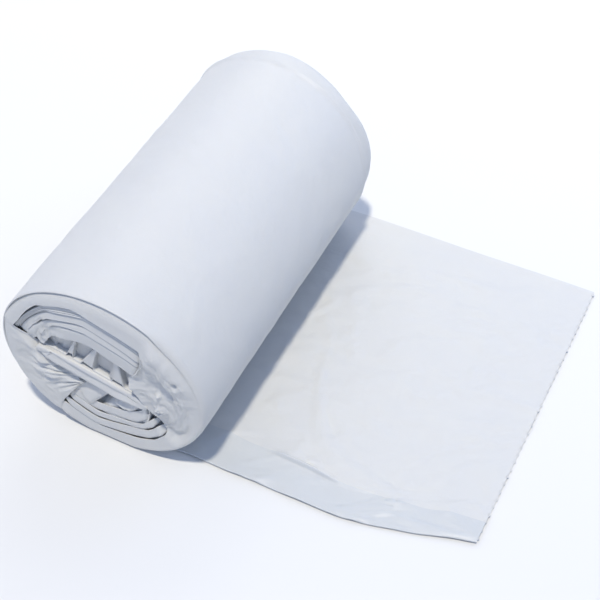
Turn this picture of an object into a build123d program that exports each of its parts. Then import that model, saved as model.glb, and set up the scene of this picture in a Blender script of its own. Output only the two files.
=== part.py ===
from build123d import *
from math import cos, pi, sin, sqrt, tau
import os

# A coreless roll of thin film bin bags lying on its side, with the first bag drawn out flat on the
# floor as a tail. The folded web is one continuous strip, so the turns and the tail are one solid.
# +X runs along the tail to its torn end, +Y along the roll's axis to its neat end, +Z is up.
# The origin is on the floor, straight below the roll's axis and at the middle of its length.

# ---- driving dimensions (mm) ----
ROLL_LENGTH = 200            # over both ends of the winding
ROLL_WIDTH = 112             # across the winding, side to side
ROLL_HEIGHT = 103.5          # floor to top of the winding
FLAT_SPOT = 17               # width of the soft roll's flat spot on the floor
TURN_LOFT = 0.8              # the folded bag's layers with the air between them

LOOSE_END_SET_BACK = 1       # outermost turn's edge, in from the loose end
NEAT_END_SET_BACK = 11       # outermost turn's edge, in from the neat end
LOOSE_SHOULDER = 4           # rounding of the winding at the loose end
NEAT_SHOULDER = 9            # rounding of the winding at the neat end

TAIL_REACH = 188.5           # torn end, from below the roll's axis
TAIL_NEAT_EDGE = 103         # straight folded edge on the neat side
TAIL_LOOSE_EDGE = 92.5       # wavy edge on the loose side, measured the other way
TAIL_DRAWN_IN = 80.5         # where that edge meets the torn end, drawn in towards the middle
FOLD_STRIP = 21              # extra fold of film along the loose side
FOLD_STRIP_AT_TEAR = 12.5    # its width at the torn end
FOLD_STRIP_LOFT = 0.6        # how much thicker the web is there

PERFORATION_PITCH = 5        # torn film bridges along the free end
NIB_WIDTH = 1.4
NIB_REACH = 1.5

GAP_WIDTH = 1.0              # open spiral gap between groups of turns, seen on both ends
GAP_DEPTH = 9
LOOSE_END_GAP = (4, 0.24)    # its turns, and where it starts as a share of the way to the middle
NEAT_END_GAP = (2, 0.5)
GAP_STOP = 0.86              # where it stops, likewise
POINTS_PER_TURN = 20         # spline points along one turn of the gap

MIDDLE_HALF_WIDTH = 33       # the collapsed middle: a leaning lens with no core
MIDDLE_HALF_HEIGHT = 16
MIDDLE_X = -4
MIDDLE_Z = 41
MIDDLE_LEAN = -12            # degrees, down towards the tail
MIDDLE_DEPTH = 24            # open depth of the pockets beside the flattened inner turns
INNER_TURNS = 9              # thickness of the flattened inner turns across the lens

# ---- worked-out dimensions ----
half_width = ROLL_WIDTH / 2
# An ellipse whose foot is cut off level by the flat spot stands ROLL_HEIGHT tall.
foot_share = sqrt(1 - (FLAT_SPOT / ROLL_WIDTH) ** 2)
half_height = ROLL_HEIGHT / (1 + foot_share)
axis_height = half_height * foot_share
loose_end = -ROLL_LENGTH / 2
neat_end = ROLL_LENGTH / 2


def blend(outside, middle, share):
    return outside + (middle - outside) * share


def turn_point(share, angle, offset=0.0):
    """A point (x, z) on the turn that lies a share of the way from the outside to the middle."""
    lean = MIDDLE_LEAN * pi / 180 * share
    across = (blend(half_width, MIDDLE_HALF_WIDTH, share) + offset) * cos(angle)
    up = (blend(half_height, MIDDLE_HALF_HEIGHT, share) + offset) * sin(angle)
    x = blend(0, MIDDLE_X, share) + across * cos(lean) - up * sin(lean)
    z = blend(axis_height, MIDDLE_Z, share) + across * sin(lean) + up * cos(lean)
    return x, z


def upright_ellipse(x, z, width, height, lean=0):
    """An elliptical face standing across the roll's axis at y = 0."""
    return Plane.XZ * Pos(x, z) * Rot(0, 0, lean) * Ellipse(width, height)


def along_roll(face, start, stop):
    """Stretches an upright face along the roll's axis."""
    return Pos(0, stop, 0) * extrude(face, amount=stop - start)


def winding():
    """The wound turns under the outermost one, with a rounded shoulder at each end."""
    face = upright_ellipse(0, axis_height, half_width - TURN_LOFT, half_height - TURN_LOFT)
    body = along_roll(face, loose_end, neat_end)
    loose_rim = body.edges().sort_by(Axis.Y)[0]
    body = fillet(loose_rim, LOOSE_SHOULDER)
    neat_rim = body.edges().sort_by(Axis.Y)[-1]
    return fillet(neat_rim, NEAT_SHOULDER)


def outermost_turn():
    """The last turn, whose edges are set back from both ends."""
    face = upright_ellipse(0, axis_height, half_width, half_height)
    return along_roll(face, loose_end + LOOSE_END_SET_BACK, neat_end - NEAT_END_SET_BACK)


def winding_gap(turns, start):
    """The spiral gap between groups of turns, from the top of one of them, as an upright face."""
    steps = turns * POINTS_PER_TURN
    outer_side = []
    inner_side = []
    for step in range(steps + 1):
        share = blend(start, GAP_STOP, step / steps)
        angle = pi / 2 + tau * step / POINTS_PER_TURN
        outer_side.append(turn_point(share, angle, GAP_WIDTH / 2))
        inner_side.append(turn_point(share, angle, -GAP_WIDTH / 2))
    outer_curve = Spline(*outer_side)
    inner_curve = Spline(*inner_side)
    start_cap = Line(outer_side[0], inner_side[0])
    stop_cap = Line(outer_side[-1], inner_side[-1])
    return Plane.XZ * make_face([outer_curve, stop_cap, inner_curve, start_cap])


def middle_pockets():
    """The two pockets left beside the flattened inner turns, as upright faces."""
    lens = upright_ellipse(MIDDLE_X, MIDDLE_Z, MIDDLE_HALF_WIDTH, MIDDLE_HALF_HEIGHT, MIDDLE_LEAN)
    slab = Rectangle(2.2 * MIDDLE_HALF_WIDTH, INNER_TURNS)
    return lens - Plane.XZ * Pos(MIDDLE_X, MIDDLE_Z) * Rot(0, 0, MIDDLE_LEAN) * slab


def torn_edge():
    """The free end from the neat corner to the loose one, with a nib at every film bridge."""
    points = [(TAIL_REACH, TAIL_NEAT_EDGE)]
    bridges = int((TAIL_NEAT_EDGE + TAIL_DRAWN_IN) / PERFORATION_PITCH)
    for bridge in range(bridges):
        middle = TAIL_NEAT_EDGE - PERFORATION_PITCH * (bridge + 0.5)
        points.append((TAIL_REACH, middle + NIB_WIDTH / 2))
        points.append((TAIL_REACH + NIB_REACH, middle))
        points.append((TAIL_REACH, middle - NIB_WIDTH / 2))
    points.append((TAIL_REACH, -TAIL_DRAWN_IN))
    return Polyline(*points)


def loose_side_edge():
    """The wavy edge from the torn end back to below the roll, drawn in at the torn end."""
    return Spline(
        (TAIL_REACH, -TAIL_DRAWN_IN),
        (TAIL_REACH * 0.81, -TAIL_LOOSE_EDGE + 2.5),
        (TAIL_REACH * 0.62, -TAIL_LOOSE_EDGE - 0.5),
        (TAIL_REACH * 0.38, -TAIL_LOOSE_EDGE + 0.4),
        (0, -TAIL_LOOSE_EDGE),
    )


def tail():
    """The first bag, drawn out flat from under the roll."""
    loose_edge = loose_side_edge()
    root = Line((0, -TAIL_LOOSE_EDGE), (0, TAIL_NEAT_EDGE))
    neat_edge = Line((0, TAIL_NEAT_EDGE), (TAIL_REACH, TAIL_NEAT_EDGE))
    web = extrude(make_face([neat_edge, torn_edge(), loose_edge, root]), amount=TURN_LOFT)

    strip_inside_root = (0, -TAIL_LOOSE_EDGE + FOLD_STRIP)
    strip_inside_tear = (TAIL_REACH, -TAIL_DRAWN_IN + FOLD_STRIP_AT_TEAR)
    strip_face = make_face([
        loose_edge,
        Line((0, -TAIL_LOOSE_EDGE), strip_inside_root),
        Line(strip_inside_root, strip_inside_tear),
        Line(strip_inside_tear, (TAIL_REACH, -TAIL_DRAWN_IN)),
    ])
    return web + extrude(strip_face, amount=TURN_LOFT + FOLD_STRIP_LOFT)


def below_floor():
    """Everything under the floor, which presses the flat spot into the roll."""
    return Pos(0, 0, -ROLL_HEIGHT) * Box(3 * ROLL_WIDTH, 2 * ROLL_LENGTH, 2 * ROLL_HEIGHT)


def bag_roll():
    pockets = middle_pockets()
    roll = winding() + outermost_turn() - below_floor()
    roll -= along_roll(winding_gap(*LOOSE_END_GAP), loose_end, loose_end + GAP_DEPTH)
    roll -= along_roll(winding_gap(*NEAT_END_GAP), neat_end - GAP_DEPTH, neat_end)
    roll -= along_roll(pockets, loose_end, loose_end + MIDDLE_DEPTH)
    roll -= along_roll(pockets, neat_end - MIDDLE_DEPTH, neat_end)
    return roll + tail()


os.makedirs("parts", exist_ok=True)
export_step(bag_roll(), "parts/bag_roll.step")
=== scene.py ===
"""Looks of a roll of white bin bags: a coreless winding of folded film with its first bag drawn out."""

from math import cos, pi, radians, sin

import bpy
import numpy as np
from bpy.props import FloatProperty, PointerProperty, StringProperty
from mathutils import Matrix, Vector


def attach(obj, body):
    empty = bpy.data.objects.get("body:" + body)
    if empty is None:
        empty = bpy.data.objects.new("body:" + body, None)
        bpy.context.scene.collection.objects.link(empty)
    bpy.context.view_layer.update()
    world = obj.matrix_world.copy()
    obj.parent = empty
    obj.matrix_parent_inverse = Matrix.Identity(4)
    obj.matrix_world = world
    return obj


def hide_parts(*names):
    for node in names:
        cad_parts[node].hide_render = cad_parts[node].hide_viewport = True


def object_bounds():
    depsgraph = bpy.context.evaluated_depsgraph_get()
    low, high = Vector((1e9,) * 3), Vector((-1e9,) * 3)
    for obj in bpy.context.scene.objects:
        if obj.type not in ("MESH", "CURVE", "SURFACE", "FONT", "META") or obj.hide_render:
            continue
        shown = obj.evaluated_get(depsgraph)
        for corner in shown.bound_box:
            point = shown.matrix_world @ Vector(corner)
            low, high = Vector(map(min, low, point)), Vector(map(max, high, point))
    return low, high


bl_info = {
    "name": "Bin Bag Roll",
    "version": (1, 0, 0),
    "blender": (4, 5, 0),
    "location": "3D View > Sidebar > Bag Roll",
    "description": "Builds a coreless roll of film bags with its first bag drawn out flat",
    "category": "Add Mesh",
}

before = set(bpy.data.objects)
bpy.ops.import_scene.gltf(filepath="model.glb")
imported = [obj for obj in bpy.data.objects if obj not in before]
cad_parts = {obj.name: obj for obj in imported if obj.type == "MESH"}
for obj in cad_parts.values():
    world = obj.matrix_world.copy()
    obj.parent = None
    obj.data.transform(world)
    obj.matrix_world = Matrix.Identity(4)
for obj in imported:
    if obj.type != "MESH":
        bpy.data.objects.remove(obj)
cad_low, cad_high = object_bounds()

MM = 0.001                      # the mesh code below works in millimetres
NODE = "bag_roll"
BODY = "root"

# The roll's own box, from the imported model, in millimetres.
HALF_WIDTH = -cad_low.x / MM
HEIGHT = cad_high.z / MM
LOOSE_END = cad_low.y / MM
TAIL_NEAT_EDGE = cad_high.y / MM
NEAT_END = -LOOSE_END
NIB_REACH = 1.5                 # the most that a whisker of torn film may stand out
TORN_END = cad_high.x / MM - NIB_REACH
HALF_FOOT = 8.5                 # half the width of the flat spot that the roll stands on
FILM_HEIGHT = 0.35              # the tail's middle surface above the floor
OUTER_TURN = 337                # length of the outermost turn
MIDDLING_TURN = 300             # length of a turn half way in, for the pattern along the web


# ---- settings a user would change ----

class FilmSettings(bpy.types.PropertyGroup):
    thickness: FloatProperty(
        name="Film stack", description="Thickness of the folded web as it lies",
        default=0.45 * MM, min=0.1 * MM, max=1 * MM, unit="LENGTH", precision=5)
    colour: StringProperty(
        name="Film", description="White of the film, as an sRGB hex value", default="#C9C9C4")
    shade: StringProperty(
        name="Thin film", description="Cooler white where fewer layers lie together",
        default="#C4C5C4")
    # Painted shade: a greyer white painted on the tail's fold strip, standing in for the shade that falls
    # on it.
    strip_painted_shade: StringProperty(
        name="Stacked film", description="Greyer white of the fold strip, where more layers lie together",
        default="#BDC0C0")


class TailSettings(bpy.types.PropertyGroup):
    loose_edge: FloatProperty(
        name="Loose edge", description="Wavy edge of the drawn-out bag, from the middle of the roll",
        default=92.5 * MM, unit="LENGTH")
    drawn_in: FloatProperty(
        name="Drawn in", description="The same edge at the torn end",
        default=80.5 * MM, unit="LENGTH")
    strip: FloatProperty(
        name="Fold strip", description="Width of the fold along the loose edge",
        default=21 * MM, unit="LENGTH")
    strip_at_tear: FloatProperty(
        name="Fold strip at the tear", description="Its width at the torn end",
        default=12.5 * MM, unit="LENGTH")
    pitch: FloatProperty(
        name="Perforation pitch", description="Distance between torn film bridges",
        default=5 * MM, unit="LENGTH")


class RollSettings(bpy.types.PropertyGroup):
    crumple: FloatProperty(
        name="Crumple", description="Depth of the crumpled film on the loose end",
        default=2.6 * MM, min=0, max=6 * MM, unit="LENGTH")


class StageSettings(bpy.types.PropertyGroup):
    azimuth: FloatProperty(
        name="Camera azimuth", description="Turn of the camera towards the tail",
        default=radians(26.3), subtype="ANGLE", unit="ROTATION")
    elevation: FloatProperty(
        name="Camera elevation", description="Height of the camera above the horizon",
        default=radians(48.0), subtype="ANGLE", unit="ROTATION")
    distance: FloatProperty(
        name="Camera distance", description="From the camera to the point it looks at",
        default=0.6954, unit="LENGTH")
    lens: FloatProperty(
        name="Lens", description="Focal length on a 36 mm sensor", default=81, unit="CAMERA")
    floor_colour: StringProperty(
        name="Floor", description="Plain pale floor, as an sRGB hex value", default="#D8D8D5")


# ---- small helpers ----

def linear_colour(hex_value):
    """An sRGB hex value as a linear colour with alpha."""
    parts = [int(hex_value[place:place + 2], 16) / 255 for place in (1, 3, 5)]
    return [part / 12.92 if part <= 0.04045 else ((part + 0.055) / 1.055) ** 2.4 for part in parts] + [1]


def mix(first, second, share):
    return first + (second - first) * share


def ease(start, stop, value):
    """0 before start, 1 after stop, with a smooth rise between them."""
    share = np.clip((value - start) / (stop - start), 0, 1)
    return share * share * (3 - 2 * share)


def arc_window(angle, start, stop, soft=8):
    """1 for angles in degrees between start and stop, easing to 0 outside."""
    off_centre = np.abs((angle - (start + stop) / 2 + 180) % 360 - 180)
    half = (stop - start) / 2
    return 1 - ease(half - soft / 2, half + soft / 2, off_centre)


LATTICE = np.random.default_rng(11).uniform(0, 2 * pi, (64, 64))


def soft_noise(x, y):
    """Smooth random relief from about -1 to 1 with one bump a unit, the same in every run."""
    cell_x = np.floor(x).astype(int)
    cell_y = np.floor(y).astype(int)
    part_x = x - cell_x
    part_y = y - cell_y

    def from_corner(step_x, step_y):
        angle = LATTICE[(cell_x + step_x) % 64, (cell_y + step_y) % 64]
        return np.cos(angle) * (part_x - step_x) + np.sin(angle) * (part_y - step_y)

    fade_x = part_x ** 3 * (part_x * (6 * part_x - 15) + 10)
    fade_y = part_y ** 3 * (part_y * (6 * part_y - 15) + 10)
    low = mix(from_corner(0, 0), from_corner(1, 0), fade_x)
    high = mix(from_corner(0, 1), from_corner(1, 1), fade_x)
    return 1.5 * mix(low, high, fade_y)


def creases(x, y):
    """Relief of crumpled film from about -1 to 1: flat facets that meet in sharp ridges."""
    bent_x = x + 0.6 * soft_noise(x * 0.7 + 5, y * 0.7)
    bent_y = y + 0.6 * soft_noise(x * 0.7, y * 0.7 + 9)
    large = 1 - 3 * np.abs(soft_noise(bent_x, bent_y))
    small = 1 - 3 * np.abs(soft_noise(bent_x * 2.3 + 3, bent_y * 2.3))
    return 0.7 * large + 0.35 * small


def add_node(tree, kind, values=(), links=(), **settings):
    """Adds a node with its settings, sets input values and links outputs of others into it."""
    node = tree.nodes.new(kind)
    for name, value in settings.items():
        setattr(node, name, value)
    for name, value in values:
        node.inputs[name].default_value = value
    for name, output in links:
        tree.links.new(output, node.inputs[name])
    return node


def new_material(name):
    """An empty node material and its tree."""
    material = bpy.data.materials.new(name)
    material.use_nodes = True
    material.node_tree.nodes.clear()
    return material, material.node_tree


# ---- film as a thin closed solid ----

def film_mesh(name, middle, thickness, web_place, stack=None, extra=()):
    """A closed thin solid round a grid of points (along the web, across it), in millimetres.

    The stack is 1 on the fold strip, which the finish paints a greyer white: painted shade."""
    along = np.gradient(middle, axis=0)
    across = np.gradient(middle, axis=1)
    normal = np.cross(along, across)
    normal /= np.maximum(np.linalg.norm(normal, axis=2, keepdims=True), 1e-9)
    columns, rows = middle.shape[:2]
    half = normal * thickness / 2
    points = np.concatenate([(middle + half).reshape(-1, 3), (middle - half).reshape(-1, 3)])

    front = np.arange(columns * rows).reshape(columns, rows)
    back = front + columns * rows
    first, second = front[:-1, :-1], front[1:, :-1]
    third, fourth = front[1:, 1:], front[:-1, 1:]
    faces = [np.stack([first, second, third, fourth], -1).reshape(-1, 4)]
    faces.append(faces[0][:, ::-1] + columns * rows)
    for edge, other in (
        (front[:, 0], back[:, 0]), (front[::-1, -1], back[::-1, -1]),
        (front[0, ::-1], back[0, ::-1]), (front[-1, :], back[-1, :]),
    ):
        faces.append(np.stack([edge[1:], edge[:-1], other[:-1], other[1:]], -1))
    faces = np.concatenate(faces).tolist()
    places = np.concatenate([web_place.reshape(-1, 2)] * 2)
    points = points.tolist()
    for extra_points, extra_faces in extra:
        start = len(points)
        points += extra_points
        faces += [[start + corner for corner in face] for face in extra_faces]

    mesh = bpy.data.meshes.new(name)
    mesh.from_pydata((np.array(points) * MM).tolist(), [], faces)
    layer = mesh.uv_layers.new(name="web")
    corners = np.empty(len(mesh.loops), dtype=np.int32)
    mesh.loops.foreach_get("vertex_index", corners)
    full = np.zeros((len(points), 2))
    full[:len(places)] = places * MM
    layer.data.foreach_set("uv", full[corners].ravel())
    if stack is not None:
        layers = np.zeros(len(points))
        layers[:2 * stack.size] = np.concatenate([stack.ravel()] * 2)
        mesh.attributes.new("stack", "FLOAT", "POINT").data.foreach_set("value", layers)
    mesh.polygons.foreach_set("use_smooth", [True] * len(mesh.polygons))
    mesh.set_sharp_from_angle(angle=radians(50))
    mesh.update()
    piece = bpy.data.objects.new(name, mesh)
    bpy.context.collection.objects.link(piece)
    return piece


# ---- the winding ----

# Turns at the loose end, from the outside in: the share of the way to the collapsed middle, then how
# far the edge is set back and how wide it turns in, at the top, at the upper left and at the foot.
# A negative width closes the gap to the turn that many further in.
LOOSE_GROUPS = np.array([
    (0.000, 0.0, 0.6, 0.0, 0.6, 0.0, 0.6),
    (0.025, -1.8, -1, -1.2, -1, -1.2, -5),
    (0.285, -1.0, 0.5, -0.6, -1, 2.0, -1),
    (0.318, -1.1, 0.5, -0.2, -1, 2.0, -1),
    (0.350, -1.2, 0.5, 0.3, -1, 2.0, -1),
    (0.384, -1.3, 0.5, 0.8, -1, 2.0, -1),
    (0.432, -0.9, -1, 0.8, 4.0, -0.6, -2),
    (0.605, -1.3, -1, 0.6, 6.0, 3.0, -1),
    (0.743, -1.5, 8.8, 0.9, 8.0, -0.1, -3),
    (0.850, 2.8, 1.0, 2.6, 6.0, 3.0, -1),
    (0.930, 4.4, 22.0, 4.6, 12.0, 3.0, -1),
    (0.990, 5.4, 1.0, 5.4, 1.0, 0.4, -1),
])
WALL_TURNS = len(LOOSE_GROUPS)          # turns that line the collapsed middle
CLOSE_GROUP = 6                         # its edge at the foot leaves the thinnest gap
BAND_GROUP = 8                          # its wide turned-in edge is the band over the pockets
POCKET_GROUP = 10                       # its turned-in edge is the back wall of the pockets
# The flattened turns inside it at the loose end: half width, half height and centre, then set back and
# share of the way to the middle line that the edge turns in, at the top and at the foot.
FLAT_GROUPS = np.array([
    (32.0, 5.4, -6.5, 45.0, 1.4, 0.06, 0.7, 0.80),
    (31.5, 4.6, -6.5, 45.0, -0.2, 0.88, -0.8, 1.00),
    (30.5, 3.7, -6.5, 45.0, 0.3, 0.30, 0.6, 0.30),
    (29.0, 2.7, -6.5, 45.2, 0.4, 0.15, 1.2, 0.20),
    (26.0, 1.6, -6.5, 45.4, 1.0, 0.10, 2.0, 0.10),
])
SLACK_BESIDE = (2.0, 0.7)               # set back and share at the upper left, for the first of them
ALL_TURNS = WALL_TURNS + len(FLAT_GROUPS)
SLACK_TURN = WALL_TURNS                 # the first flattened turn, slack and pleated
SLAB_TURN = WALL_TURNS + 1              # the one inside it, with a flat edge like a slab
# Pleats of the slack turn: place across the middle, width, height and lean.
PLEATS = ((-14.0, 1.1, 16, 0.07), (-4.0, 2.2, 18, 0.1), (13.5, 2.0, 20, -0.1))
# The covering turn's edge on the left and on the right: degrees, and how wide it turns in there. The
# degrees of the one on the right are counted from the left, so that they rise.
FLAP = ((164, 170, 178, 184, 190, 204, 217, 227, 233, 238), (21, 24, 27, 31, 38, 37, 37, 38, 22, 8))
EAR = ((138, 142, 148, 155, 182, 200, 232), (12, 17, 26, 30, 38, 40, 40))
# How far the rounding of an edge reaches inwards and how deep it is: of a thin edge, and of the
# covering turn, which is deeper again at the very top.
THIN_ROUND = (1.6, 1.0)
COVER_ROUND = (8.5, 2.2)
TOP_DEPTH = 3.4
# Edge of the outermost turn at the neat end: turns from the tail, and y. It wanders inwards.
OUTER_NEAT_EDGE = ((0, 0.22, 0.5, 0.72, 1.0), (TAIL_NEAT_EDGE, 97, 91, 82, 81))
LINER = (36.5, 26.0, -2.0, 45.2)        # half width, half height and centre of the innermost wall turn
MIDDLE_LEAN = -13                       # degrees, down towards the tail
MIDDLE_LINE = np.array([(-28.0, 53.0), (22.0, 39.0)])   # ends of the line that edges turn in to
LEFT_TUCK = (-12.0, 37.5)               # where the flap on the left is tucked in
RIGHT_TUCK = (9.0, 47.0)
CORNERS = (-15, 30, 98, 124, 168, 215, 262, 300, 345)   # degrees, where the wound film keeps a kink
LIFT_OFF = -90                          # degrees, where the tail leaves the roll

FOOT_SHARE = np.sqrt(1 - (HALF_FOOT / HALF_WIDTH) ** 2)
HALF_HEIGHT = HEIGHT / (1 + FOOT_SHARE)
AXIS_HEIGHT = HALF_HEIGHT * FOOT_SHARE


def turn_angle(turns):
    """Angle in degrees of a place so many turns in from where the tail leaves the roll."""
    return LIFT_OFF - 360 * turns


def on_cover(turns):
    """True on the covering turn."""
    return (turns > 0.99) & (turns < 2.0)


def covered(angle):
    """Where the turned-in edge of the covering turn hides the groups behind it: left and right."""
    return arc_window(angle, 166, 238, 9), arc_window(angle, -42, 54, 12)


def faceted(angle):
    """How far a straight run between the kinks lies inside the round section, from 0 to about 0.2."""
    turned = (angle - CORNERS[0]) % 360 + CORNERS[0]
    dip = np.zeros_like(turned)
    for start, stop in zip(CORNERS, CORNERS[1:]):
        half = radians(stop - start) / 2
        off_middle = np.radians(turned - (start + stop) / 2)
        inside = (turned >= start) & (turned < stop)
        dip = np.where(inside, 1 - cos(half) / np.cos(np.clip(off_middle, -half, half)), dip)
    return dip


def by_group(turns, values):
    """Values that hold for a whole turn and change on the left, where the flap hides the change."""
    step = np.floor(turns - 0.08).astype(int)
    moved = ease(0.0, 0.17, turns - 0.08 - step)
    last = len(values) - 1
    return mix(values[np.clip(step - 1, 0, last)], values[np.clip(step, 0, last)], moved)


def section_sizes(turns, loose):
    """Half width, half height, centre and share inwards of the section that a turn follows."""
    numbers = np.arange(ALL_TURNS) + 0.5            # the middle of each turn
    even = np.concatenate([[0, 0.035], np.linspace(0.035, 1, WALL_TURNS - 1)[1:]])
    outside = (HALF_WIDTH, HALF_HEIGHT, 0.0, AXIS_HEIGHT)
    filled = np.linspace(0.85, 0.04, len(FLAT_GROUPS))
    in_step = (
        mix(LINER[0], 26, 1 - filled), LINER[1] * filled, np.full(len(filled), LINER[2]),
        np.full(len(filled), LINER[3]))
    sizes = []
    for place in range(4):
        in_middle = np.concatenate([mix(outside[place], LINER[place], even), in_step[place]])
        at_loose = mix(outside[place], LINER[place], LOOSE_GROUPS[:, 0])
        at_loose = np.concatenate([at_loose, FLAT_GROUPS[:, place]])
        sizes.append(mix(np.interp(turns, numbers, in_middle), by_group(turns, at_loose), loose))
    ones = np.ones(len(FLAT_GROUPS))
    share_middle = np.interp(turns, numbers, np.concatenate([even, ones]))
    share_loose = by_group(turns, np.concatenate([LOOSE_GROUPS[:, 0], ones]))
    return (*sizes, mix(share_middle, share_loose, loose))


def wound_place(turns, y):
    """Where the film lies so many turns in and at that y, as x and z arrays."""
    angle = turn_angle(turns)
    up = np.sin(np.radians(angle))
    aside = np.cos(np.radians(angle))
    loose = 1 - ease(LOOSE_END + 9, LOOSE_END + 42, y)
    half_width, half_height, centre_x, centre_z, share = section_sizes(turns, loose)
    flat = ease(WALL_TURNS + 0.08, WALL_TURNS + 0.25, turns)
    lean = np.radians(MIDDLE_LEAN) * share * mix(0.75 * ease(-0.6, 0.5, up), 1, flat)
    kinked = 1 - faceted(angle) * ease(0.02, 0.25, share) * mix(0.1, 0.5, loose) * (1 - flat)
    ripple = soft_noise(aside * 2.2 + 7, up * 2.2 + share * 2.5)
    ripple = ripple * mix(0.15, 1.0, share * loose) * ease(0.0, 0.2, share)
    across = (half_width * kinked + ripple) * aside
    rise = (half_height * kinked + ripple) * np.sign(up) * np.abs(up) ** mix(1, 0.6, flat)
    slack_across, slack_rise = loose_film(turns, across, up)
    across = across + slack_across * loose
    rise = rise + slack_rise * loose
    x = centre_x + across * np.cos(lean) - rise * np.sin(lean)
    z = centre_z + across * np.sin(lean) + rise * np.cos(lean)
    lowest = 0.45 + 0.8 * np.clip(turns, 0, 1) + 0.02 * (turns > 1)     # on the floor, then on the tail
    return x, np.maximum(z, lowest)


def loose_film(turns, across, up):
    """The slack turn round the flattened ones: narrow pleats up to the wall, and a deep belly below.

    Gives how far it shifts across and how far it rises."""
    slack = np.floor(turns - 0.16) == SLACK_TURN
    pleats = 0 * across
    leaning = 0 * across
    for place, width, height, lean in PLEATS:
        pleat = height * np.exp(-np.abs((across - place) / width) ** 2.4)
        pleats = pleats + pleat
        leaning = leaning + lean * pleat * (1 + 0.05 * pleat)
    below = ease(0.0, 0.75, -up)
    shift = np.where(up > 0, leaning, (0.1 * across + 4) * below)
    rise = np.where(up > 0, pleats, -20.0 * below)
    return slack * shift, slack * rise


def inward_of(x, z, turns):
    """Unit directions from points of the section to where the film is tucked in, and how far that is."""
    start, stop = MIDDLE_LINE
    run = stop - start
    share = np.clip(((x - start[0]) * run[0] + (z - start[1]) * run[1]) / (run @ run), 0, 1)
    aim_x = start[0] + share * run[0]
    aim_z = start[1] + share * run[1]
    left, right = covered(turn_angle(turns))
    outside = (turns > 0.9) & (turns < 2.0)         # the covering turn, and the end of the one before
    aim_x = np.where(outside, mix(mix(aim_x, LEFT_TUCK[0], left), RIGHT_TUCK[0], right), aim_x)
    aim_z = np.where(outside, mix(mix(aim_z, LEFT_TUCK[1], left), RIGHT_TUCK[1], right), aim_z)
    to_x = aim_x - x
    to_z = aim_z - z
    length = np.maximum(np.hypot(to_x, to_z), 1e-6)
    return to_x / length, to_z / length, length


def close_up(turns, widths, spare=0.0):
    """Widths as they are, or the gap to the turn that many further in where they are negative."""
    rim = np.full_like(turns, LOOSE_END)
    x, z = wound_place(turns, rim)
    further_x, further_z = wound_place(turns + np.maximum(-widths, 0), rim)
    gap = np.hypot(further_x - x, further_z - z)
    return np.where(widths < 0, np.maximum(gap * 1.06 - spare, 0.7), widths)


def loose_edge_form(turns, reach):
    """Set back, turned-in width and slope of the film's edge at the loose end."""
    angle = turn_angle(turns)
    up = np.sin(np.radians(angle))
    foot = 1 - ease(-0.55, -0.15, up)
    beside = arc_window(angle, 128, 190, 30)
    top_row = np.clip(np.floor(turns - 0.16).astype(int), 0, ALL_TURNS - 1)
    foot_row = np.clip(np.floor(turns - 0.65).astype(int), 0, ALL_TURNS - 1)
    flat = FLAT_GROUPS[:, (4, 5, 4, 5, 6, 7)]
    flat[0, 2:4] = SLACK_BESIDE
    forms = np.concatenate([LOOSE_GROUPS[:, 1:], flat])

    def width(row, column, spare):
        """Turned-in width from a column of the table; the flattened turns state shares of the reach."""
        return close_up(turns, forms[row, column] * np.where(row < WALL_TURNS, 1, reach), spare)

    back = mix(mix(forms[top_row, 0], forms[top_row, 2], beside), forms[foot_row, 4], foot)
    at_top = mix(width(top_row, 1, 1.0), width(top_row, 3, 0.8), beside)
    at_foot = width(foot_row, 5, np.where(foot_row == CLOSE_GROUP, 0.2, 0.6))
    turned_in = mix(at_top, at_foot, foot)
    slope = mix(mix(np.where(top_row == BAND_GROUP, 0.06, -0.17), 0.05, beside), 0.12, foot)
    slope = np.where(top_row == POCKET_GROUP, mix(0.04, 0.12, foot), slope)
    slope = np.where(top_row >= SLACK_TURN, mix(0.0, 0.16, foot), slope)
    slope = np.where(top_row == SLAB_TURN, mix(slope, 0.32, foot), slope)
    pleated = (top_row == SLACK_TURN) & (up > 0)
    turned_in = np.where(pleated, np.maximum(reach - 5.2, 0.7), turned_in)

    back, turned_in, slope = by_the_flaps(turns, back, turned_in, slope)
    back = back + 0.35 * soft_noise(turns * 9.3, turns * 0 + 3.3) * (turns > 1)
    turned_in = turned_in * (1 + 0.10 * soft_noise(turns * 11, turns * 0 + 8.1))
    return back, turned_in, slope


def by_the_flaps(turns, back, turned_in, slope):
    """The same three, changed where the covering turn's wide edge turns in over the groups behind it."""
    angle = turn_angle(turns)
    left, right = covered(angle)
    flap = np.interp(angle % 360, *FLAP)
    ear = np.interp((angle + 180) % 360, *EAR)
    cover = on_cover(turns)
    turned_in = np.where(cover, mix(mix(turned_in, flap, left), ear, right), turned_in)
    back = np.where(cover, mix(mix(back, -0.9, left), -0.7, right), back)
    slope = np.where(cover, mix(mix(slope, 0.07, left), -0.05, right), slope)
    behind = (turns >= 2.0) & (turns < WALL_TURNS + 0.1)
    back = np.where(behind, back + 1.5 * left + 5 * right, back)
    closed = close_up(turns, np.full_like(turns, -1))
    turned_in = np.where(behind, mix(turned_in, closed, np.maximum(left, right)), turned_in)
    outer = turns < 0.99
    return back, np.where(outer, turned_in + 2.4 * right, turned_in), slope


def over_the_top(turns):
    """1 over the top and the far side of the neat end, easing to 0 on the tail's side and at the foot."""
    angle = (turn_angle(turns) + 90) % 360 - 90
    return ease(35, 95, angle) * (1 - ease(170, 240, angle))


def neat_edge_form(turns, cover):
    """Set back and turned-in width of the film's edge at the neat end."""
    if cover:
        return -3.0 * over_the_top(turns), np.full_like(turns, 11.0)
    return 1.5 + 1.2 * soft_noise(turns * 2.1, turns * 0 + 1.7), np.full_like(turns, 1.6)


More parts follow.
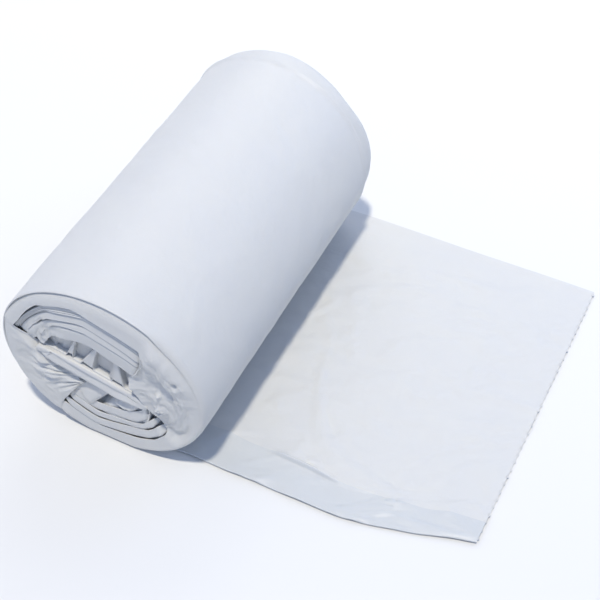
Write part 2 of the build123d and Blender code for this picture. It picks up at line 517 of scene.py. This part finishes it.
def turned_edge(turned_in, back, slope, round_in, round_out, flat_rows, round_rows):
    """Path of a turned-in edge from its free rim to the wall: inward distance and distance in."""
    inner = np.minimum(turned_in, round_in)
    depth = round_out * inner / round_in
    steps_flat = np.linspace(1, 0, flat_rows, endpoint=False)
    flat_in = inner[:, None] + (turned_in - inner)[:, None] * steps_flat
    flat_back = back[:, None] + slope[:, None] * (flat_in - inner[:, None])
    steps_round = np.linspace(pi / 2, 0, round_rows)
    round_path = inner[:, None] * (1 - np.cos(steps_round))
    round_back = back[:, None] + depth[:, None] * (1 - np.sin(steps_round))
    return np.hstack([flat_in, round_path]), np.hstack([flat_back, round_back])


def side_of(x, z, start, stop):
    """Signed distance from a line in the end face, and the share of the way along it."""
    run = np.array(stop) - start
    length = np.hypot(*run)
    along = ((x - start[0]) * run[0] + (z - start[1]) * run[1]) / length
    aside = ((z - start[1]) * run[0] - (x - start[0]) * run[1]) / length
    return aside, along / length


def spot(x, z, at_x, at_z, wide, high):
    """1 at a place in the end face, fading out over so many millimetres across and up."""
    return np.exp(-((x - at_x) / wide) ** 2 - ((z - at_z) / high) ** 2)


def ear_relief(x, z, inward, angle):
    """The right: a proud outer roll of film creased along the outline, a step, then a smooth fold."""
    crumple = bpy.context.scene.roll_settings.crumple / MM
    bounded = ease(2, 14, z - 46) * ease(-84, -76, -z)
    outer_roll = 1 - ease(14.3, 16.2, inward + 1.5 * soft_noise(z / 9, x / 30))
    step = (outer_roll - 1) * crumple * mix(0.25, 1.1, bounded)
    rings = soft_noise(inward / 2.3 + soft_noise(z / 14, x / 14) * 1.5, angle / 22) * 0.75
    facets = creases(x / 14 + 2, z / 18 + 4) * 0.34 * crumple
    hollow = 0.8 * spot(x, z, 46.5, 68, 1.0, 1.4) - 1.8 * spot(x, z, 43, 69, 1.6, 2.2)
    tufts = 2.0 * spot(x, z, 32, 53.5, 1.1, 0.9)
    tufts = tufts + 1.3 * (1 + creases(x / 2.1, z / 3.2)) * spot(x, z, 32, 41, 3.5, 5.0)
    tilt = 0.12 * (z - 52)
    return step + rings * outer_roll + facets * 0.8 + hollow + tufts + tilt


def flap_relief(x, z, inward):
    """The left: smooth by the outline, with gathers that run to the tuck and two edges of layers."""
    along_tuck = np.degrees(np.arctan2(z - LEFT_TUCK[1], x - LEFT_TUCK[0]))
    gathers = soft_noise(along_tuck / 7.5 + 3, np.hypot(x - LEFT_TUCK[0], z - LEFT_TUCK[1]) / 30)
    gathers = gathers * 1.7 * ease(9, 20, inward)
    dents = creases(x / 13 + 8, z / 11) * 0.4
    layers = 0 * x
    for start, stop in (((-38.0, 44.0), (-21.0, 38.5)), ((-41.0, 36.0), (-28.0, 32.5))):
        above, along = side_of(x, z, start, stop)
        edge = ease(-0.5, 0.5, above) * np.exp(-np.maximum(above, 0) / 4)
        layers = layers + 1.5 * edge * arc_window(along, 0, 1, 0.4)
    return gathers + dents + layers


def belly_relief(x, z):
    """The foot of the slack turn: a fold over a narrow three-cornered pocket, and a small oval curl."""
    aside, along = side_of(x, z, (-10.0, 22.0), (7.0, 41.0))
    fold = 1.2 * ease(-0.6, 0.6, aside) * (1 - ease(4, 11, aside)) * ease(-0.12, 0.12, along)
    fold = fold - 6.5 * np.exp(-((aside + 2.2) / 1.7) ** 2) * arc_window(along, 0.1, 1.0, 0.5)
    from_curl = np.hypot((x - 10) / 7.0, (z - 33) / 4.2)
    curl = 2.2 * ease(-1.15, -0.85, -from_curl) - 1.0 * ease(-0.7, -0.3, -from_curl)
    waves = creases(x / 16 + 1, z / 9 + 2) * 0.5
    return fold + curl + waves


def crumpled(x, z, turns, inward, from_rim):
    """How far the turned-in film stands proud of its plane, in millimetres, from crumples and pleats."""
    angle = turn_angle(turns)
    left, right = covered(angle)
    reach = ease(1, 7, inward)
    tucked = -5.0 * (1 - ease(0, 9, from_rim)) * arc_window(angle, 146, 194, 16)
    on_left = flap_relief(x, z, inward) * left * reach + tucked * left
    on_right = ear_relief(x, z, inward, angle) * right * reach
    belly = (turns > SLACK_TURN + 0.8) & (turns < SLACK_TURN + 1.2)
    below = belly_relief(x, z) * belly * ease(0.5, 3, inward)
    slab = 0.35 * soft_noise(x / 12, z / 5 + 3) * (turns > SLAB_TURN) * ~belly
    beside = arc_window(angle, 122, 172, 20) * (turns > 2) * (turns < WALL_TURNS)
    kinks = creases(angle / 13 + 4, inward / 7) * 0.8 * beside * ease(1, 4, inward)
    return (on_right + on_left) * on_cover(turns) + below + slab + kinks


def wound_film(name, turns, loose_rows, wall_steps, neat_rows):
    """One stretch of the winding, at these turns in from the tail, with both its edges.

    The rows are how many points an edge has, flat and round; the steps are where the wall between
    the edges has a row, as a share of its length."""
    cover = turns[0] < 1.5
    rim_x, rim_z = wound_place(turns, np.full_like(turns, LOOSE_END))
    reach = inward_of(rim_x, rim_z, turns)[2]
    back, turned_in, slope = loose_edge_form(turns, reach)
    up = np.sin(np.radians(turn_angle(turns)))
    soft = ease(-0.55, 0.1, up) if cover else 0 * up
    high = ease(0.2, 0.9, up) if cover else 0 * up
    round_in = mix(THIN_ROUND[0], COVER_ROUND[0], soft)
    round_out = mix(THIN_ROUND[1], COVER_ROUND[1], soft) + TOP_DEPTH * high
    loose_in, loose_back = turned_edge(turned_in, back, slope, round_in, round_out, *loose_rows)
    neat_back, neat_turned = neat_edge_form(turns, cover)
    neat_round = mix(9, 2, over_the_top(turns)) if cover else np.full_like(turns, 1.5)
    neat_in, neat_path = turned_edge(
        neat_turned, neat_back, np.full_like(turns, 0.1), neat_round, neat_round, *neat_rows)
    loose_y = LOOSE_END + loose_back
    neat_y = (NEAT_END - neat_path)[:, ::-1]
    wall_y = mix(loose_y[:, -1:], neat_y[:, :1], np.array(wall_steps))
    y = np.hstack([loose_y, wall_y, neat_y])
    inward = np.hstack([loose_in, np.zeros_like(wall_y), neat_in[:, ::-1]])
    spread = np.repeat(turns[:, None], y.shape[1], axis=1)
    x, z = wound_place(spread, y)
    to_x, to_z, _ = inward_of(x, z, spread)
    if cover:
        inward = inward + 0.6 * ease(62, 80, y)
    x = x + to_x * inward
    z = z + to_z * inward
    at_loose_end = np.arange(y.shape[1]) < loose_y.shape[1]
    y = y - crumpled(x, z, spread, inward, turned_in[:, None] - inward) * at_loose_end
    middle = np.stack([x, y, z], -1)
    across_web = np.cumsum(np.abs(np.gradient(y, axis=1)) + 0.3, axis=1)
    web_place = np.stack([spread * MIDDLING_TURN, across_web], -1)
    thickness = bpy.context.scene.film_settings.thickness / MM
    return film_mesh(name, middle, thickness, web_place)


# ---- the drawn-out bag ----

def loose_side(x):
    """y of the drawn-out bag's wavy edge."""
    settings = bpy.context.scene.tail_settings
    wide = settings.loose_edge / MM
    narrow = settings.drawn_in / MM
    pulled = ease(0.60 * TORN_END, 1.25 * TORN_END, x) * 2
    return -wide + (wide - narrow) * pulled + 0.5 * soft_noise(x / 17, x * 0 + 4.4)


def strip_width(x):
    """Width of the fold strip along the loose edge."""
    settings = bpy.context.scene.tail_settings
    share = np.clip(x / TORN_END, 0, 1)
    width = mix(settings.strip, settings.strip_at_tear, share ** 2) / MM
    return width + 0.7 * soft_noise(x / 22, x * 0 + 2.2)


def tail_lift(x, y):
    """How far the drawn-out film lies above the floor, in millimetres."""
    clear = ease(24, 60, x)                         # it lies flat where the roll presses on it
    from_loose = y - loose_side(x)
    from_fold = from_loose - strip_width(x)
    from_neat = TAIL_NEAT_EDGE - y

    # a soft ridge along the fold strip, a wavy loose edge and low swells
    ridge = 1.7 * np.exp(-(from_fold / 5.5) ** 2) * (0.55 + 0.45 * soft_noise(x / 24 + 3, y * 0))
    wave = 0.6 * (0.5 + 0.5 * soft_noise(x / 19 + 8, y / 40)) * np.exp(-(from_loose / 7) ** 2)
    swell = 0.7 * (0.5 + 0.5 * soft_noise(x / 48 + 1, y / 55 + 6))
    neat_fold = 0.7 * np.exp(-(from_neat / 4) ** 2)

    # folds that run across the web, a bend that turns off from the strip, and one short crease
    folds = 1.0 * np.maximum(creases((x + 0.55 * y) / 46, (y - 0.35 * x) / 17), 0) * clear
    folds = folds * ease(2, 26, from_neat)
    bend = y + 66 - 32 * np.exp(-(x - 86) / 16)
    folds = folds + 0.9 * (1 - ease(-1.5, 3.5, bend)) * ease(-16, -3, bend) * arc_window(x, 78, 136, 24)
    short = y + 24 + 0.24 * (x - 137)
    folds = folds + 0.5 * np.exp(-(short / 1.8) ** 2 - ((x - 147) / 11) ** 2)

    # a crisp stretch of the strip's ridge, and a small pucker on it
    crisp = 1.7 * np.exp(-(from_fold / 1.1) ** 2) * np.exp(-((x - 96) / 20) ** 4)
    pucker = np.exp(-((x - 143) / 6) ** 2 - ((from_fold + 1) / 2.4) ** 2)
    pucker = pucker * (0.4 + 0.8 * creases(x / 4.2 + 0.3, y / 2.6))
    return (ridge + wave + swell + neat_fold) * clear + folds + pucker + crisp


def torn_nibs(thickness):
    """Whiskers of film left where the bridges of the perforation tore."""
    settings = bpy.context.scene.tail_settings
    pitch = settings.pitch / MM
    chance = np.random.default_rng(5)
    nibs = []
    for number in range(int((TAIL_NEAT_EDGE + settings.drawn_in / MM) / pitch)):
        y = TAIL_NEAT_EDGE - pitch * (number + 0.5)
        lift = float(tail_lift(np.array([TORN_END]), np.array([y]))[0]) + FILM_HEIGHT
        reach = NIB_REACH * chance.uniform(0.25, 0.55)
        aside = chance.uniform(-0.5, 0.5)
        half = chance.uniform(0.9, 1.5)
        low, high = lift - thickness * 0.45, lift + thickness * 0.45
        root, tip = TORN_END - 0.8, TORN_END + reach
        points = [
            (root, y - half, low), (root, y + half, low), (root, y + half, high), (root, y - half, high),
            (tip, y + aside - 0.4, lift - 0.1), (tip, y + aside + 0.4, lift - 0.1),
            (tip, y + aside + 0.4, lift + 0.1), (tip, y + aside - 0.4, lift + 0.1),
        ]
        faces = [[0, 3, 2, 1], [4, 5, 6, 7], [0, 1, 5, 4], [1, 2, 6, 5], [2, 3, 7, 6], [3, 0, 4, 7]]
        nibs.append((points, faces))
    return nibs


def first_bag():
    """The tail and the outermost turn: one stretch of web with a fold strip along its loose side."""
    thickness = bpy.context.scene.film_settings.thickness / MM
    tail_x = np.linspace(TORN_END, 0, 126, endpoint=False)
    turns = np.linspace(0, 1.0, 214)
    x_axis = np.concatenate([tail_x, np.zeros_like(turns)])
    turn_axis = np.concatenate([np.zeros_like(tail_x), turns])
    on_roll = np.concatenate([np.zeros_like(tail_x), np.ones_like(turns)])

    at_roll = np.zeros(1)                           # x where the tail leaves the roll
    loose_y = np.concatenate([
        loose_side(tail_x), mix(loose_side(at_roll), LOOSE_END, ease(0, 0.16, turns))])
    neat_y = np.concatenate([np.full_like(tail_x, TAIL_NEAT_EDGE), np.interp(turns, *OUTER_NEAT_EDGE)])
    strip = np.concatenate([strip_width(tail_x), np.full_like(turns, strip_width(at_roll)[0])])

    strip_steps = 1 - 0.96 * np.linspace(0, 1, 24) ** 1.5
    bend_steps = np.linspace(pi / 2, -pi / 2, 5)[1:-1]
    near_steps = np.linspace(0.002, 0.14, 18)
    far_steps = np.concatenate([np.linspace(0.14, 0.975, 70)[1:], np.linspace(0.975, 1, 8)[1:]])
    gap = (0.5 - 0.46 * ease(0.8, 1, turn_axis))[:, None]       # between the strip and the web
    strip_y = loose_y[:, None] + strip[:, None] * strip_steps
    bend_y = loose_y[:, None] + 0.3 - 0.3 * np.cos(bend_steps)
    web_y = mix(loose_y[:, None], neat_y[:, None], np.concatenate([near_steps, far_steps]))
    y = np.hstack([strip_y, bend_y, web_y])
    over = np.hstack([
        np.repeat(gap, strip_y.shape[1], axis=1),
        gap / 2 + gap / 2 * np.sin(np.repeat(bend_steps[None], len(y), axis=0)),
        np.zeros_like(web_y),
    ])
    wide_x = np.repeat(x_axis[:, None], y.shape[1], axis=1)
    wide_turns = np.repeat(turn_axis[:, None], y.shape[1], axis=1)
    rolled = np.repeat(on_roll[:, None], y.shape[1], axis=1)

    roll_x, roll_z = wound_place(wide_turns, y)
    to_x, to_z, _ = inward_of(roll_x, roll_z, wide_turns)
    lift = tail_lift(wide_x, y) * (1 - rolled)
    from_edge = np.clip((y - loose_y[:, None]) / 3.2, 0, 1)
    curl = 2.4 * (1 - np.sqrt(1 - (1 - from_edge) ** 2)) * covered(turn_angle(wide_turns))[1]
    from_neat = (neat_y[:, None] - y) / 1.8
    dents = 0.25 * (1 + soft_noise(wide_turns * 9, y / 60))
    dents = dents + 0.28 * creases(wide_turns * 8 + 0.02 * y, y / 42)
    dents = dents * arc_window(wide_turns, 0.25, 0.85, 0.2) * ease(0, 20, y - loose_y[:, None])
    edge_bulge = 1.1 * ease(0.1, 0.3, wide_turns) * (1 - 0.9 * ease(0.68, 0.80, wide_turns))
    inwards = over + curl - dents - edge_bulge * np.exp(-from_neat ** 2)
    x = np.where(rolled > 0, roll_x + to_x * inwards, wide_x)
    z = np.where(rolled > 0, roll_z + to_z * inwards, FILM_HEIGHT + over + lift)
    middle = np.stack([x, y, z], -1)
    along = np.where(rolled > 0, -wide_turns * OUTER_TURN, wide_x)
    web_place = np.stack([along, y], -1)
    # The fold strip rows, which the finish paints a greyer white as painted shade.
    in_strip = np.repeat([1.0, 0.0], [len(strip_steps) + len(bend_steps), web_y.shape[1]])
    stack = (1 - rolled) * in_strip
    return film_mesh("first_bag", middle, thickness, web_place, stack, torn_nibs(thickness))


# ---- finishes ----

def blown_film():
    """Blown HDPE film, tinted white. Satin, faintly cloudy, with fine lines drawn along the web by the
    die and slight stretch marks across it: a soft broad sheen and cool, milky shadows."""
    settings = bpy.context.scene.film_settings
    material, tree = new_material("blown_white_hdpe_film")
    place = add_node(tree, "ShaderNodeTexCoord")
    web = add_node(tree, "ShaderNodeUVMap", uv_map="web")
    die_lines = add_node(
        tree, "ShaderNodeMapping", [("Scale", (1 / 0.16, 1 / 0.0011, 1))],
        [("Vector", web.outputs["UV"])])
    lines = add_node(
        tree, "ShaderNodeTexNoise", [("Scale", 1), ("Detail", 2)],
        [("Vector", die_lines.outputs["Vector"])])
    cloud = add_node(
        tree, "ShaderNodeTexNoise", [("Scale", 1 / 0.03), ("Detail", 3), ("Roughness", 0.55)],
        [("Vector", place.outputs["Object"])])
    tint = add_node(
        tree, "ShaderNodeMix",
        [("A", linear_colour(settings.colour)), ("B", linear_colour(settings.shade))],
        [("Factor", cloud.outputs["Fac"])], data_type="RGBA")
    # Painted shade: the fold strip, marked by the stack attribute, is painted a greyer white.
    layers = add_node(tree, "ShaderNodeAttribute", attribute_name="stack")
    white = add_node(
        tree, "ShaderNodeMix", [("B", linear_colour(settings.strip_painted_shade))],
        [("A", tint.outputs["Result"]), ("Factor", layers.outputs["Fac"])], data_type="RGBA")
    crinkle = add_node(
        tree, "ShaderNodeTexNoise",
        [("Scale", 1 / 0.006), ("Detail", 4), ("Roughness", 0.5)],
        [("Vector", place.outputs["Object"])])
    sheen = add_node(
        tree, "ShaderNodeMapRange", [("To Min", 0.42), ("To Max", 0.55)],
        [("Value", cloud.outputs["Fac"])])
    fine = add_node(
        tree, "ShaderNodeBump", [("Strength", 0.4), ("Distance", 0.00008)],
        [("Height", lines.outputs["Fac"])])
    bump = add_node(
        tree, "ShaderNodeBump", [("Strength", 0.45), ("Distance", 0.0005)],
        [("Height", crinkle.outputs["Fac"]), ("Normal", fine.outputs["Normal"])])
    film = add_node(
        tree, "ShaderNodeBsdfPrincipled",
        [("IOR", 1.54), ("Subsurface Weight", 0.25), ("Subsurface Radius", (0.9, 1.0, 1.2)),
         ("Subsurface Scale", 0.0012)],
        [("Base Color", white.outputs["Result"]), ("Roughness", sheen.outputs["Result"]),
         ("Normal", bump.outputs["Normal"])])
    add_node(tree, "ShaderNodeOutputMaterial", links=[("Surface", film.outputs["BSDF"])])
    return material


def painted_floor():
    """Matt white painted board: even, pale and free of gloss."""
    material, tree = new_material("matt_white_board")
    board = add_node(
        tree, "ShaderNodeBsdfPrincipled",
        [("Base Color", linear_colour(bpy.context.scene.stage_settings.floor_colour)),
         ("Roughness", 0.9), ("Specular IOR Level", 0.1)])
    add_node(tree, "ShaderNodeOutputMaterial", links=[("Surface", board.outputs["BSDF"])])
    return material


def film_finish():
    """The one film material, made the first time it is asked for."""
    return bpy.data.materials.get("blown_white_hdpe_film") or blown_film()


def join_roll(piece):
    """Gives a stretch of the web its finish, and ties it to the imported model."""
    piece.data.materials.append(film_finish())
    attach(piece, BODY)
    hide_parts(NODE)


# ---- operators ----

class BAGROLL_OT_first_bag(bpy.types.Operator):
    """Draws out the first bag: the tail on the floor and the outermost turn"""
    bl_idname = "bagroll.first_bag"
    bl_label = "First bag"

    def execute(self, context):
        join_roll(first_bag())
        return {"FINISHED"}


class BAGROLL_OT_winding(bpy.types.Operator):
    """Winds the covering turn, whose edges turn in over both ends, and the groups of turns under it"""
    bl_idname = "bagroll.winding"
    bl_label = "Winding"

    def execute(self, context):
        wall_steps = (0.02, 0.05, 0.1, 0.2, 0.35, 0.5, 0.65, 0.8, 0.92, 0.97)
        cover = wound_film("covering_turn", np.linspace(1, 2, 440), (44, 9), wall_steps, (4, 10))
        join_roll(cover)
        wall_steps = (0.03, 0.08, 0.14, 0.2, 0.3, 0.6, 0.9)
        wound = wound_film("wound_turns", np.linspace(1.995, WALL_TURNS, 1850), (6, 4), wall_steps, (2, 4))
        join_roll(wound)
        return {"FINISHED"}


class BAGROLL_OT_middle(bpy.types.Operator):
    """Lays the flattened innermost turns in the collapsed middle"""
    bl_idname = "bagroll.middle"
    bl_label = "Flattened middle"

    def execute(self, context):
        wall_steps = (0.02, 0.04, 0.07, 0.1, 0.14, 0.2, 0.3, 0.6, 0.9)
        pleated = WALL_TURNS + np.linspace(0.25, 0.75, 420)
        belly = WALL_TURNS + np.linspace(0.75, 1.25, 100)[1:]
        rest = np.linspace(WALL_TURNS + 1.25, ALL_TURNS - 0.5, 460)[1:]
        turns = np.concatenate([np.linspace(WALL_TURNS - 0.01, pleated[0], 40)[:-1], pleated, belly, rest])
        flat = wound_film("flattened_middle", turns, (18, 4), wall_steps, (2, 4))
        join_roll(flat)
        return {"FINISHED"}


# Softboxes aimed at the middle of the roll: name, position, energy, colour and side.
SOFTBOXES = (
    ("left_softbox", (-0.95, 0.1, 0.6), 0.8, "#FFF6EE", 0.8),
    ("far_softbox", (-0.30, 0.62, 0.72), 1.7, "#FFFBF4", 0.55),
    ("far_right_softbox", (0.30, 0.55, 0.45), 1.1, "#D6E4FF", 0.5),
)


def place_light(name, kind, position, aim, energy, colour, **settings):
    """Adds a lamp that points from its position at a place."""
    lamp = bpy.data.lights.new(name, kind)
    lamp.energy = energy
    lamp.color = linear_colour(colour)[:3]
    for key, value in settings.items():
        setattr(lamp, key, value)
    holder = bpy.data.objects.new(name, lamp)
    holder.location = position
    holder.rotation_euler = (Vector(aim) - Vector(position)).to_track_quat("-Z", "Y").to_euler()
    bpy.context.collection.objects.link(holder)
    return holder


class BAGROLL_OT_stage(bpy.types.Operator):
    """Sets the floor, the lamps, the sky and the camera"""
    bl_idname = "bagroll.stage"
    bl_label = "Stage"

    def execute(self, context):
        scene = context.scene
        settings = scene.stage_settings
        reach = 4.0                                 # of the floor, each way
        mesh = bpy.data.meshes.new("floor")
        corners = [(-reach, -reach, 0), (reach, -reach, 0), (reach, reach, 0), (-reach, reach, 0)]
        mesh.from_pydata(corners, [], [(0, 1, 2, 3)])
        mesh.materials.append(painted_floor())
        floor = bpy.data.objects.new("floor", mesh)
        context.collection.objects.link(floor)

        middle = Vector((0.06, 0.0, 0.04))          # of the roll with its tail
        place_light("overhead_lamp", "SUN", (0.1, -0.38, 1.6), (0, 0, 0), 2.7, "#FFF7E8", angle=radians(4))
        for name, position, energy, colour, size in SOFTBOXES:
            place_light(name, "AREA", position, middle, energy, colour, shape="SQUARE", size=size)

        world = bpy.data.worlds.new("pale_sky")
        world.use_nodes = True
        world.node_tree.nodes.clear()
        sky = add_node(
            world.node_tree, "ShaderNodeBackground",
            [("Color", linear_colour("#B1C7F5")), ("Strength", 0.8)])
        add_node(world.node_tree, "ShaderNodeOutputWorld", links=[("Surface", sky.outputs["Background"])])
        scene.world = world
        scene.view_settings.view_transform = "Standard"

        camera_data = bpy.data.cameras.new("camera")
        camera_data.sensor_width = 36               # millimetres
        camera_data.lens = settings.lens
        camera_data.clip_start = 0.01
        camera = bpy.data.objects.new("camera", camera_data)
        aim = Vector((0.0596, -0.0057, 0.0400))     # the point it looks at
        level = cos(settings.elevation)
        back = Vector((
            sin(settings.azimuth) * level, -cos(settings.azimuth) * level, sin(settings.elevation)))
        camera.location = aim + back * settings.distance
        camera.rotation_euler = (-back).to_track_quat("-Z", "Y").to_euler()
        context.collection.objects.link(camera)
        scene.camera = camera
        return {"FINISHED"}


class BAGROLL_PT_panel(bpy.types.Panel):
    """Steps of the build, in order"""
    bl_label = "Bag Roll"
    bl_idname = "BAGROLL_PT_panel"
    bl_space_type = "VIEW_3D"
    bl_region_type = "UI"
    bl_category = "Bag Roll"

    def draw(self, context):
        for operator in OPERATORS:
            self.layout.operator(operator.bl_idname)
        for group in GROUPS:
            for name in GROUPS[group].__annotations__:
                self.layout.prop(getattr(context.scene, group), name)


GROUPS = {
    "film_settings": FilmSettings,
    "tail_settings": TailSettings,
    "roll_settings": RollSettings,
    "stage_settings": StageSettings,
}
OPERATORS = (BAGROLL_OT_first_bag, BAGROLL_OT_winding, BAGROLL_OT_middle, BAGROLL_OT_stage)


def register():
    for item in (*GROUPS.values(), *OPERATORS, BAGROLL_PT_panel):
        bpy.utils.register_class(item)
    for name, group in GROUPS.items():
        setattr(bpy.types.Scene, name, PointerProperty(type=group))


def unregister():
    for name in GROUPS:
        delattr(bpy.types.Scene, name)
    for item in reversed((*GROUPS.values(), *OPERATORS, BAGROLL_PT_panel)):
        bpy.utils.unregister_class(item)


def main():
    register()
    bpy.ops.bagroll.first_bag()
    bpy.ops.bagroll.winding()
    bpy.ops.bagroll.middle()
    bpy.ops.bagroll.stage()


if __name__ == "__main__":
    main()
